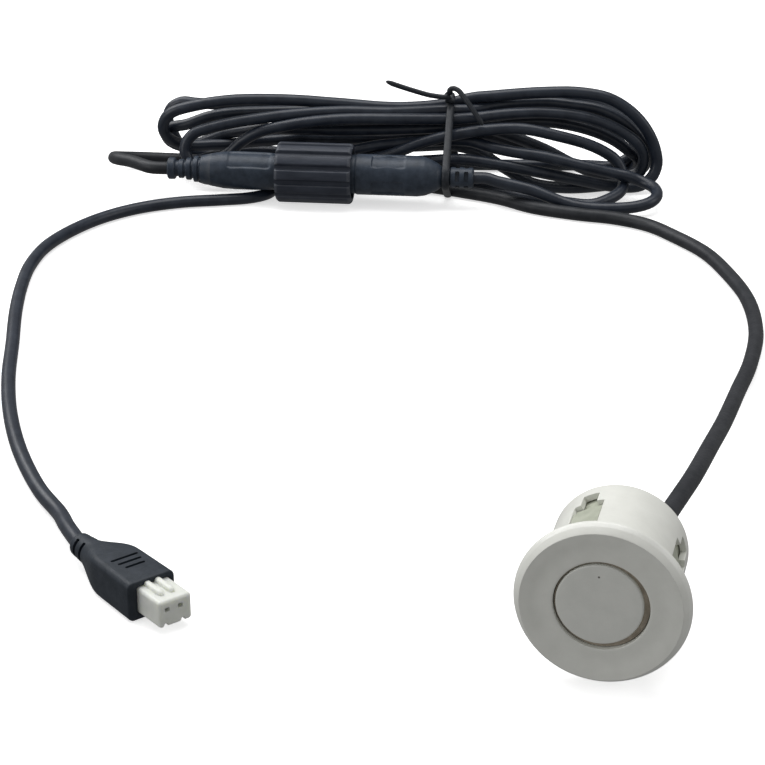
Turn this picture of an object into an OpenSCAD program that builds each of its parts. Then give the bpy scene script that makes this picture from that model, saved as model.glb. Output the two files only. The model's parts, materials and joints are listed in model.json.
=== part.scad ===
// Ultrasonic parking sensor with its lead.
// The sensor stands on the rim of its flange with its axis level, along Y, and its
// face towards -Y. The lead lies on the same surface behind it: sensor cable,
// in-line screw connector, a tied hank of the long lead, and a two-way plug.
// Millimetres.

/* [Sensor] */
// Outer diameter of the front flange
flange_d = 27.6; // [26:0.1:30]
// Thickness of the flange
flange_t = 2.6; // [2.2:0.1:3]
// Diameter of the land behind the flange that sits in the bumper hole
land_d = 22.3; // [22.2:0.1:22.5]
// Length of that land
land_l = 3.6; // [3:0.1:4]
// Diameter of the sleeve behind the land
sleeve_d = 21.8; // [21.5:0.1:21.8]
// Length from the front of the flange to the back of the sleeve
sensor_l = 21; // [20:0.1:24]
// Inside diameter of the sleeve
sleeve_id = 19.7; // [19.4:0.1:19.8]
// Diameter of the round opening in the face
aperture_d = 15; // [14.8:0.1:15.2]

/* [Windows] */
// Width of a sleeve window
window_w = 5.2; // [4:0.1:5.5]
// Where a window starts, from the front
window_z = 6.6; // [6.4:0.1:7]
// Where its wide part ends, from the front
window_e = 15.4; // [14:0.1:16]
// Width of the narrow notch at its rear
notch_w = 2.8; // [2:0.1:3.5]
// Where the notch ends, from the front
notch_e = 18.2; // [17:0.1:18.6]
// Angle of the first window above the horizontal
window_a = 16; // [12:0.5:24]
// Angle of the second window; the other two lie opposite
window_b = 115.5; // [105:0.5:120]

/* [Transducer] */
// Diameter of the transducer can
can_d = 13.6; // [13.4:0.1:13.8]
// Length of the can
can_l = 8.6; // [8:0.1:9]
// Wall of the can
can_w = 0.8; // [0.6:0.1:1]
// Sideways set of the can in its ring
can_off = 0.3; // [0:0.05:0.3]
// Sideways place of the cable in the back
exit_x = 5; // [4:0.1:5.2]

/* [In-line connector] */
// Overall length of the connector
conn_l = 76; // [76:1:76]
// Outer diameter of the coupling nut
nut_d = 14.9; // [14.5:0.1:15]
// Number of flutes on the nut
nut_n = 12; // [10:1:14]
// Width of a flute
flute_w = 1.5; // [1:0.1:1.8]
// Depth of a flute
flute_h = 0.7; // [0.4:0.1:0.8]
// Largest diameter of the left half
left_d = 9.4; // [9:0.1:9.4]
// Largest diameter of the right half
right_d = 10; // [9.6:0.1:10.4]

/* [Plug] */
// Width of the boot at its front
boot_w = 9; // [8.8:0.1:9.2]
// Height of the boot at its front
boot_h = 7; // [6.6:0.1:7.4]
// Length of the boot with its strain relief
boot_l = 22.8; // [22.6:0.1:24]
// Width of the white housing
house_w = 6.2; // [6:0.1:6.4]
// Height of the white housing
house_h = 4.8; // [4.6:0.1:5]
// How far the housing stands out of the boot
house_l = 6.5; // [6.3:0.1:7]
// Sideways set of the housing in the boot
house_y = 0.45; // [0:0.05:0.5]
// Distance between the two contacts
pitch = 2.5; // [2.4:0.1:2.6]

/* [Lead] */
// Diameter of the sensor cable
cable_d = 3.2; // [3:0.1:3.2]
// Diameter of the long lead
lead_d = 2.9; // [2.7:0.1:2.9]
// Height of the hank behind the connector
hank_h = 24.6; // [22:0.2:26]
// Width of the hank behind the connector
hank_w = 19; // [18:0.5:20]

/* [Hidden] */
$fn = 72;

// The lead is laid out on axes turned by this angle from the sensor's own.
lay_a = 14.2;
// Centre, height and direction of the in-line connector on the layout.
conn_c = [-51, 215, 7.7];
conn_a = -5.8;
// Middle of the boot's front edge on the layout, and the way the plug points.
plug_c = [-73.1, 11.8, 0];
plug_a = -52;

flange_r = flange_d / 2;
sleeve_r = sleeve_d / 2;
bore_r = sleeve_id / 2;
window_angles = [window_a, window_b, window_a + 180, window_b + 180];
back_z = 20.2;              // surface of the potting, from the front

// Route of the sensor cable over the surface, after it leaves the sensor.
cable_route = [[18, 38.5, 12], [23, 54.5, 9.5], [28.5, 72.5, 6.5], [34, 91.5, 4],
    [39.5, 110, 2.2], [43.5, 128, 1.6], [44.5, 146, 1.6], [42.5, 161.5, 1.6],
    [39, 175.5, 1.6], [33.5, 186, 1.6], [28, 194, 1.6], [20.5, 199, 1.6],
    [12, 202, 1.6]];
// Route of its other end: out of the connector's left end and back to the hank.
loop_route = [[-98.5, 225, 7.4], [-102.5, 229.5, 6.6], [-104.2, 235, 5.2],
    [-102.5, 240.5, 3.4], [-96.5, 243.6, 2.2], [-88, 243.5, 1.8], [-82, 242, 1.6]];
// Route of the long lead from the hank, under the connector, to the plug.
tail_route = [[-59, 231, 1.5], [-62.5, 225, 1.5], [-63.2, 219.5, 1.5], [-65, 215.3, 1.5],
    [-69.2, 213.5, 1.5], [-76, 212.5, 1.5], [-85, 211, 1.5], [-94.5, 207, 1.5], [-102.5, 200.5, 1.5], [-109, 191.5, 1.5],
    [-114, 180, 1.5], [-116, 167.5, 1.5], [-116, 154, 1.5], [-115, 139.5, 1.5],
    [-113, 122, 1.5], [-111, 104, 1.5], [-108, 87, 1.5], [-103.5, 70, 1.5],
    [-97.5, 54, 1.5], [-92.4, 43.6, 2], [-90.3, 37.4, 2.8]];

// ---- shared functions ----
function unit(v) = v / norm(v);
function turn(p, a) = [p[0] * cos(a) - p[1] * sin(a), p[0] * sin(a) + p[1] * cos(a), p[2]];
function arc(cx, cy, r, a0, a1, n) =
    [for (i = [0:n]) [cx + r * cos(a0 + (a1 - a0) * i / n), cy + r * sin(a0 + (a1 - a0) * i / n)]];
function spline(p0, p1, p2, p3, t) = 0.5 * (2 * p1 + (p2 - p0) * t
    + (2 * p0 - 5 * p1 + 4 * p2 - p3) * t * t + (3 * p1 - p0 - 3 * p2 + p3) * t * t * t);
function smooth(q, n) = concat([for (i = [0:len(q) - 2]) for (k = [0:n - 1])
    spline(q[max(i - 1, 0)], q[i], q[i + 1], q[min(i + 2, len(q) - 1)], k / n)], [q[len(q) - 1]]);
function along(q, i) = unit(q[min(i + 1, len(q) - 1)] - q[max(i - 1, 0)]);
function ring(c, t, r, m) = let (s = unit(cross(t, [0, 0, 1])), u = cross(s, t))
    [for (k = [0:m - 1]) c + r * (cos(360 * (k + 0.5) / m) * s + sin(360 * (k + 0.5) / m) * u)];

// A round tube swept along the points q.
module tube(q, r, m = 8) {
    n = len(q);
    pts = [for (i = [0:n - 1]) each ring(q[i], along(q, i), r, m)];
    sides = [for (i = [0:n - 2]) for (k = [0:m - 1]) let (a = i * m + k, b = i * m + (k + 1) % m)
        each [[a, b, b + m], [a, b + m, a + m]]];
    caps = [[for (k = [m - 1:-1:0]) k], [for (k = [0:m - 1]) (n - 1) * m + k]];
    polyhedron(points = pts, faces = concat(sides, caps));
}

// A straight round wire between two points.
module wire(a, b, r) {
    d = b - a;
    translate(a) rotate([0, acos(d[2] / norm(d)), atan2(d[1], d[0])])
        cylinder(r = r, h = norm(d), $fn = 24);
}

// Sensor axes: z runs from the front of the flange to the back.
module sensor_frame() {
    translate([0, -sensor_l / 2, flange_r]) rotate([-90, 0, 0]) children();
}
module layout() rotate([0, 0, lay_a]) children();
// Connector axes: z runs from its left end to its right end.
module conn_frame() {
    layout() translate(conn_c) rotate([0, 0, conn_a]) rotate([0, 90, 0])
        translate([0, 0, -conn_l / 2]) children();
}
// Hank axes: x along the connector from its left end, y backwards, z up.
module hank_frame() {
    layout() translate([conn_c[0], conn_c[1], 0]) rotate([0, 0, conn_a])
        translate([-conn_l / 2, 0, 0]) children();
}
// Plug axes: x the way the plug points, from the front of the boot.
module plug_frame() layout() translate(plug_c) rotate([0, 0, plug_a]) children();

function conn_end(x) = [conn_c[0] + x * cos(conn_a), conn_c[1] + x * sin(conn_a), conn_c[2]];
function plug_at(x, z) = [plug_c[0] + x * cos(plug_a), plug_c[1] + x * sin(plug_a), z];

// ---- sensor ----
module window_cut(a) {
    rotate([0, 0, -a]) {
        translate([bore_r - 0.5, -window_w / 2, window_z])
            cube([3, window_w, window_e - window_z]);
        translate([bore_r - 0.5, -notch_w / 2, window_e - 0.5])
            cube([3, notch_w, notch_e - window_e + 0.5]);
    }
}

module sensor_bezel() {
    profile = concat(
        [[aperture_d / 2, 2.6], [aperture_d / 2, 0.85], [aperture_d / 2 + 0.2, 0.62],
         [9.2, 0.62], [10.4, 0.48], [11.4, 0.22], [flange_r - 1.2, 0], [flange_r - 0.8, 0.5],
         [flange_r - 0.4, 1.05], [flange_r - 0.12, 1.6]],
        arc(flange_r - 0.6, flange_t - 0.6, 0.6, 0, 90, 4),
        [[land_d / 2, flange_t], [land_d / 2, flange_t + land_l], [sleeve_r, flange_t + land_l + 0.2],
         [sleeve_r, sensor_l - 0.5], [sleeve_r - 0.4, sensor_l], [bore_r + 0.3, sensor_l],
         [bore_r, sensor_l - 0.3], [bore_r, 3.4], [8.2, 3.4]]);
    color([0.93, 0.93, 0.91]) sensor_frame() difference() {
        rotate_extrude() polygon(profile);
        for (a = window_angles) window_cut(a);
    }
}

// Inner capsule with a latch tongue in each window.
module sensor_capsule() {
    cr = bore_r - 0.2;
    color([0.72, 0.75, 0.68]) sensor_frame() difference() {
        union() {
            translate([0, 0, 3.4]) cylinder(r = cr, h = 16.4);
            for (a = window_angles) rotate([0, 0, -a]) {
                translate([cr - 1, -window_w / 2 + 0.2, window_z + 0.2])
                    cube([1.75, window_w - 0.4, window_e - window_z - 2.2]);
                translate([cr - 1, -window_w / 2 + 0.2, window_e - 2.2])
                    cube([1.3, window_w - 0.4, 2]);
            }
        }
        translate([0, 0, 3]) cylinder(r = 7.4, h = 7);
        translate([0, 0, 9]) cylinder(r = 6, h = 3);
        translate([0, 0, 11.4]) cylinder(r = 8.3, h = 9);
    }
}

module can_place() translate([-can_off, -can_off / 2, 0]) children();

module transducer_can() {
    color([0.9, 0.9, 0.88]) sensor_frame() can_place() difference() {
        rotate_extrude() polygon([[0, 0.7], [can_d / 2 - 0.3, 0.7], [can_d / 2, 1], [can_d / 2, 0.7 + can_l],
            [can_d / 2 - can_w, 0.7 + can_l], [can_d / 2 - can_w, 1.5], [0, 1.5]]);
    }
}

module isolation_ring() {
    color([0.42, 0.38, 0.32]) sensor_frame() difference() {
        translate([0, 0, 1.5]) cylinder(r = 7.38, h = 8.45);
        can_place() translate([0, 0, 1]) cylinder(r = can_d / 2 + 0.02, h = 10);
    }
}

module piezo_disc() {
    color([0.75, 0.72, 0.6]) sensor_frame() can_place()
        translate([0, 0, 1.5]) cylinder(r = 3.6, h = 0.5);
}

module damping_pad() {
    color([0.3, 0.3, 0.3]) sensor_frame() can_place() difference() {
        translate([0, 0, 2]) cylinder(r = can_d / 2 - can_w - 0.1, h = 3.4);
        translate([1, 0, 1]) cylinder(r = 0.8, h = 6);
    }
}

module potting_fill() {
    color([0.16, 0.16, 0.17]) sensor_frame() difference() {
        union() {
            can_place() translate([0, 0, 5.5]) cylinder(r = can_d / 2 - can_w - 0.1, h = 3.9);
            translate([0, 0, 9.4]) cylinder(r = 5.7, h = 2.1);
            translate([0, 0, 11.5]) cylinder(r = 8.25, h = back_z - 11.5 - 0.6);
        }
        translate([exit_x, 0, 14.5]) cylinder(r = 2.6, h = 8);
    }
}

module cable_grommet() {
    color([0.1, 0.1, 0.11]) sensor_frame() difference() {
        translate([exit_x, 0, 14.5]) cylinder(r = 2.58, h = back_z - 14.5);
        translate([exit_x, 0, 14]) cylinder(r = cable_d / 2 + 0.05, h = 8);
    }
}

module signal_wire() {
    color([0.7, 0.2, 0.15]) sensor_frame() wire([exit_x - 0.6, 0, 16], [0.8, -0.1, 2], 0.35);
}

module ground_wire() {
    color([0.15, 0.15, 0.16]) sensor_frame() wire([exit_x + 0.5, 0, 16], [can_d / 2 - can_w - can_off - 0.3, 0, 7], 0.35);
}

// ---- in-line connector ----
module inline_left_half() {
    lr = left_d / 2;
    color([0.2, 0.21, 0.23]) conn_frame() difference() {
        rotate_extrude() polygon([[0, 0], [2.4, 0], [2.7, 0.3], [2.7, 1.6], [2.4, 1.9], [1.95, 1.9], [1.95, 2.7],
            [2.35, 2.8], [2.35, 3.9], [1.95, 4.1], [1.95, 4.6], [2.75, 4.7], [2.75, 5.8], [2.3, 6], [2.3, 6.5],
            [3.2, 6.6], [3.2, 7.6], [2.7, 7.8], [2.7, 8.2], [3.4, 8.4], [4.05, 11], [lr - 0.15, 14], [lr, 17],
            [lr, 22], [lr - 0.1, 25], [4.5, 26.8], [4.5, 29.7], [5.6, 29.7], [5.6, 31.7], [0, 31.7]]);
        translate([0, 0, 19]) cylinder(r = 3.2, h = 14);
        for (s = [-1, 1]) translate([0, 0.8 * s, 0.3]) cylinder(r = 0.47, h = 20);
        grip_cut(lr, 16, 24);
    }
}

// Shallow flats ground into the barrel where the fingers hold it.
module grip_cut(r, z0, z1) {
    for (a = [90, 270]) rotate([0, 0, a]) translate([r - 0.35, -3, z0]) cube([2, 6, z1 - z0]);
}

module inline_right_half() {
    rr = right_d / 2;
    color([0.2, 0.21, 0.23]) conn_frame() difference() {
        rotate_extrude() polygon([[0, 33.4], [5.6, 33.4], [5.6, 45.4], [4.8, 45.4], [4.8, 47], [rr, 49], [rr, 62.5],
            [rr - 0.25, 64], [rr - 0.9, 65.6], [3.4, 67.2], [2.3, 68.4], [2.05, 69], [2.05, 70.2], [2.5, 70.5],
            [2.5, 75.7], [2.2, 76], [0, 76]]);
        translate([0, 0, 33]) cylinder(r = 3.2, h = 11);
        for (s = [-1, 1]) translate([0, 0.8 * s, 43]) cylinder(r = 0.47, h = 32.7);
        grip_cut(rr, 52, 60);
        for (z = [71.5, 73.7]) for (s = [-1, 1]) translate([-1.2, s > 0 ? 1.9 : -3.9, z]) cube([2.4, 2, 1.1]);
    }
}

// Fluted ring that screws the two halves together. It is captive behind the left half's collar.
module coupling_nut() {
    nr = nut_d / 2;
    color([0.27, 0.28, 0.3]) conn_frame() difference() {
        rotate_extrude() polygon([[4.85, 27.4], [nr - 0.6, 27.4], [nr, 28], [nr, 45.6], [nr - 0.6, 46.2], [6, 46.2],
            [6, 29.4], [4.85, 29.4]]);
        for (k = [0:nut_n - 1]) rotate([0, 0, 360 * (k + 0.5) / nut_n + 18])
            translate([nr - flute_h, -flute_w / 2, 27]) cube([3, flute_w, 20]);
    }
}

module sealing_ring() {
    color([0.5, 0.16, 0.12]) conn_frame() translate([0, 0, 32.55])
        rotate_extrude() translate([4.4, 0]) circle(r = 0.8, $fn = 24);
}

module pin_insert() {
    color([0.12, 0.12, 0.13]) conn_frame() difference() {
        translate([0, 0, 19]) cylinder(r = 3.18, h = 12.7);
        for (s = [-1, 1]) translate([0, 1.2 * s, 18]) cylinder(r = 0.52, h = 15);
    }
}

module socket_insert() {
    color([0.12, 0.12, 0.13]) conn_frame() difference() {
        translate([0, 0, 33.4]) cylinder(r = 3.18, h = 10.6);
        for (s = [-1, 1]) translate([0, 1.2 * s, 33]) cylinder(r = 0.92, h = 12);
    }
}

module contact_pins() {
    color([0.8, 0.68, 0.35]) conn_frame()
        for (s = [-1, 1]) translate([0, 1.2 * s, 19]) cylinder(r = 0.5, h = 21, $fn = 32);
}

module contact_sockets() {
    color([0.8, 0.68, 0.35]) conn_frame() for (s = [-1, 1]) translate([0, 1.2 * s, 33.6]) difference() {
        cylinder(r = 0.9, h = 10.4, $fn = 32);
        translate([0, 0, -1]) cylinder(r = 0.54, h = 9, $fn = 32);
    }
}

module left_cores() {
    color([0.75, 0.5, 0.3]) conn_frame()
        for (s = [-1, 1]) translate([0, 0.8 * s, 0.3]) cylinder(r = 0.45, h = 18.7, $fn = 24);
}

module right_cores() {
    color([0.75, 0.5, 0.3]) conn_frame()
        for (s = [-1, 1]) translate([0, 0.8 * s, 44]) cylinder(r = 0.45, h = 31.7, $fn = 24);
}

// ---- plug ----
contact_y = house_y - 0.35;     // place of the two contacts
contact_z = boot_h / 2 + 0.75;
// Line of one core, from the strain relief to its terminal.
function core_route(s) = [[-boot_l + 0.3, 0.9 * s, boot_h / 2], [-13, 0.9 * s, boot_h / 2],
    [-9, contact_y + pitch / 2 * s, contact_z], [-6.5, contact_y + pitch / 2 * s, contact_z]];

module boot_section(x, w, h, r) {
    translate([x, 0, boot_h / 2]) rotate([90, 0, 90]) linear_extrude(0.02)
        offset(r = r, $fn = 24) square([w - 2 * r, h - 2 * r], center = true);
}

module plug_boot() {
    zc = boot_h / 2;
    color([0.2, 0.21, 0.23]) plug_frame() difference() {
        union() {
            hull() {
                boot_section(-0.02, boot_w, boot_h, 1);
                boot_section(-10.2, boot_w - 0.4, boot_h, 1.2);
            }
            hull() {
                boot_section(-10.2, boot_w - 0.4, boot_h, 1.2);
                boot_section(-18.4, 5, 4.9, 2.3);
            }
            translate([-boot_l, 0, zc]) rotate([0, 90, 0])
                rotate_extrude() polygon([[0, 0], [1.8, 0], [2.1, 0.4], [2.4, boot_l - 18.3], [0, boot_l - 18.3]]);
        }
        translate([-8, house_y - house_w / 2 - 0.02, zc - house_h / 2 - 0.02])
            cube([9, house_w + 0.04, house_h + 0.04]);
        for (s = [-1, 1]) {
            tube(core_route(s), 0.48, 12);
            // Slots in the sides of the strain relief.
            for (x = [1.4, 3.5]) translate([-boot_l + x, s > 0 ? 1.7 : -3.7, zc - 1.5]) cube([0.75, 2, 3]);
        }
        // Grip slots across the top.
        for (k = [0:2]) translate([-8.7 + 1.6 * k, -2.4 + 0.4 * k, boot_h - 0.35]) cube([0.6, 5.2 - 0.7 * k, 1]);
    }
}

module plug_housing() {
    zc = boot_h / 2;
    cy = contact_y - house_y;
    color([0.95, 0.95, 0.92]) plug_frame() translate([0, house_y, 0]) difference() {
        union() {
            translate([-8, -house_w / 2, zc - house_h / 2]) cube([8 + house_l, house_w, house_h]);
            for (s = [-1, 1]) translate([0, s - 0.8, zc + house_h / 2 - 0.1]) cube([4.7, 1.2, 0.8]);
        }
        for (s = [-1, 1]) {
            translate([-9, cy + pitch / 2 * s - 0.85, contact_z - 0.85]) cube([13.8, 1.7, 1.7]);
            translate([4, cy + pitch / 2 * s, contact_z]) rotate([0, 90, 0]) cylinder(r = 0.4, h = 5, $fn = 32);
        }
        // Notches along the bottom that leave three feet.
        for (y = [-1.85, 1.35]) translate([1.2, y - 0.35, zc - house_h / 2 - 0.2]) cube([8, 0.7, 0.8]);
    }
}

module plug_terminals() {
    color([0.78, 0.78, 0.75]) plug_frame() for (s = [-1, 1])
        translate([-6.5, contact_y + pitch / 2 * s, contact_z]) difference() {
            translate([0, -0.8, -0.8]) cube([10.8, 1.6, 1.6]);
            translate([3, 0, 0]) rotate([0, 90, 0]) cylinder(r = 0.55, h = 10, $fn = 32);
        }
}

module plug_cores() {
    color([0.75, 0.5, 0.3]) plug_frame() for (s = [-1, 1]) tube(core_route(s), 0.45, 12);
}

// ---- tie and lead ----
module tie_outline(d) offset(r = d, $fn = 32) translate([-2.9, 1.7]) square([28.8, 22.4]);

module twist_tie() {
    color([0.17, 0.18, 0.2]) {
        hank_frame() translate([68.3, 0, 0]) rotate([90, 0, 90]) linear_extrude(1.8) difference() {
            tie_outline(1.6);
            tie_outline(0.8);
        }
        layout() tube(smooth([[-20, 226, 25.2], [-24, 226, 25.8], [-28, 226, 26], [-32, 226, 27], [-35.5, 226, 28.4]], 2), 0.8);
        layout() tube(smooth([[-20, 225, 25.2], [-17.5, 223.5, 26.4], [-15, 222, 25.4], [-13, 220.5, 22.5],
            [-11.5, 219.5, 20], [-10.5, 218.5, 17.5]], 2), 0.8);
    }
}

module sensor_cable() {
    y0 = -sensor_l / 2;
    start = [for (z = [16, back_z + 0.5, back_z + 6]) turn([exit_x, y0 + z, flange_r], -lay_a)];
    color([0.17, 0.18, 0.2]) layout() tube(smooth(concat(start, cable_route), 2), cable_d / 2);
}

module connector_loop() {
    start = [for (d = [0, 2, 4]) conn_end(-conn_l / 2 - d)];
    color([0.17, 0.18, 0.2]) layout() tube(smooth(concat(start, loop_route), 2), cable_d / 2);
}

// Outer shape of the wound lead: the tall run behind the connector.
module lead_hank() {
    yc = 8 + hank_w / 2;
    color([0.19, 0.2, 0.22]) hank_frame() linear_extrude(hank_h) {
        translate([2, yc - hank_w / 2]) square([110, hank_w]);
        translate([2, yc]) circle(d = hank_w);
        translate([112, yc]) circle(d = hank_w);
    }
}

// The low turns of the wound lead beyond the connector's right end.
module hank_front_turns() {
    color([0.19, 0.2, 0.22]) hank_frame() linear_extrude(13) {
        translate([conn_l, -9]) square([34, 17]);
        translate([conn_l + 34, -0.5]) circle(r = 8.5);
    }
}

module lead_tail() {
    end = [plug_at(-boot_l, boot_h / 2)];
    color([0.17, 0.18, 0.2]) layout() tube(smooth(concat(tail_route, end), 2), lead_d / 2);
}

sensor_bezel();
sensor_capsule();
transducer_can();
isolation_ring();
piezo_disc();
damping_pad();
potting_fill();
signal_wire();
ground_wire();
cable_grommet();
inline_left_half();
inline_right_half();
coupling_nut();
sealing_ring();
pin_insert();
socket_insert();
contact_pins();
contact_sockets();
left_cores();
right_cores();
plug_boot();
plug_housing();
plug_terminals();
plug_cores();
twist_tie();
sensor_cable();
connector_loop();
lead_hank();
hank_front_turns();
lead_tail();
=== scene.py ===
import json
import math

import bmesh
import bpy
import numpy as np
from mathutils import Matrix, Vector


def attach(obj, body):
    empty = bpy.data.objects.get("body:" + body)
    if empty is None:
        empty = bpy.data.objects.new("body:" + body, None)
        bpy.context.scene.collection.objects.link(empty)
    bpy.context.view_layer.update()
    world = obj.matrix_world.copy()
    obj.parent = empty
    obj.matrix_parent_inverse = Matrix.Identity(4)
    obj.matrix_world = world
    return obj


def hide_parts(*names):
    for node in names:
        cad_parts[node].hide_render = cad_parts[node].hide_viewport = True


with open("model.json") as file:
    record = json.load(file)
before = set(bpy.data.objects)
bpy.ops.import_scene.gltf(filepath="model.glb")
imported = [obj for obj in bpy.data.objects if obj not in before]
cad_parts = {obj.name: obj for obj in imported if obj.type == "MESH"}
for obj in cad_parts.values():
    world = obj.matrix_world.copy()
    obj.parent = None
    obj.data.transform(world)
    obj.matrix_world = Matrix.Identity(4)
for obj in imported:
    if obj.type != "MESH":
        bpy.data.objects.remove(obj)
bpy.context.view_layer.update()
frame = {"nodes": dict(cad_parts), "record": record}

SCENE = bpy.context.scene
NODES = frame["nodes"]
ROOT, NUT = "sensor_and_lead", "nut"
MM = 0.001

# ---------------------------------------------------------------- camera
cam_data = bpy.data.cameras.new("camera")
cam_data.lens = 102.45
cam_data.sensor_width = 36.0
cam_data.clip_start = 0.01
cam_data.clip_end = 60.0
camera = bpy.data.objects.new("camera", cam_data)
camera.location = (0.03849, -0.29712, 0.1792)
camera.rotation_euler = (math.radians(66), 0, math.radians(14.2))
SCENE.collection.objects.link(camera)
SCENE.camera = camera
SCENE.view_settings.view_transform = "Standard"

# ---------------------------------------------------------------- shared frames, millimetres
# The lead is laid out on axes turned by 14.2 degrees from the sensor's own.
LAY = math.radians(14.2)
ROW_FROM_LAY = Matrix.Rotation(LAY, 4, "Z")
F_PX, PITCH = 2177.0, math.radians(24.0)
EYE = np.array([-35.576, -297.479, 179.2])


def V(u, v, y):
    """Layout point on the line of sight through the place u, v of the frame, at depth y. It shows."""
    a = (v - 382.5) / F_PX
    d = (y - EYE[1]) / (math.cos(PITCH) - a * math.sin(PITCH))
    return [EYE[0] + (u - 382.5) / F_PX * d, y, EYE[2] - d * (math.sin(PITCH) + a * math.cos(PITCH)), 1]


def P(x, y, z):
    """Layout point of a stretch that is hidden."""
    return [x, y, z, 0]


CA = math.radians(-5.8)
CC = np.array([-51.0, 215.0, 7.7])
CD = np.array([math.cos(CA), math.sin(CA), 0.0])
C_LEFT, C_RIGHT = CC - 38 * CD, CC + 38 * CD
PA = math.radians(-52.0)
PC = np.array([-73.1, 11.8, 0.0])
PD = np.array([math.cos(PA), math.sin(PA), 0.0])

SENSOR_M = Matrix(((1, 0, 0, 0), (0, 0, 1, -10.5 * MM), (0, -1, 0, 13.8 * MM), (0, 0, 0, 1)))
CONN_M = (ROW_FROM_LAY @ Matrix.Translation(Vector(CC) * MM) @ Matrix.Rotation(CA, 4, "Z")
          @ Matrix.Rotation(math.radians(90), 4, "Y") @ Matrix.Translation((0, 0, -38 * MM)))
PLUG_M = ROW_FROM_LAY @ Matrix.Translation(Vector(PC) * MM) @ Matrix.Rotation(PA, 4, "Z")


def row(p):
    """Layout millimetres to the row frame in metres."""
    return np.array([math.cos(LAY) * p[0] - math.sin(LAY) * p[1],
                     math.sin(LAY) * p[0] + math.cos(LAY) * p[1], p[2]]) * MM


def lay(x, y, z):
    """Row millimetres to the layout."""
    return [math.cos(LAY) * x + math.sin(LAY) * y, -math.sin(LAY) * x + math.cos(LAY) * y, z]


# ---------------------------------------------------------------- routes of the two cords
LEAD_R, CABLE_R = 1.45, 1.6

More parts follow.
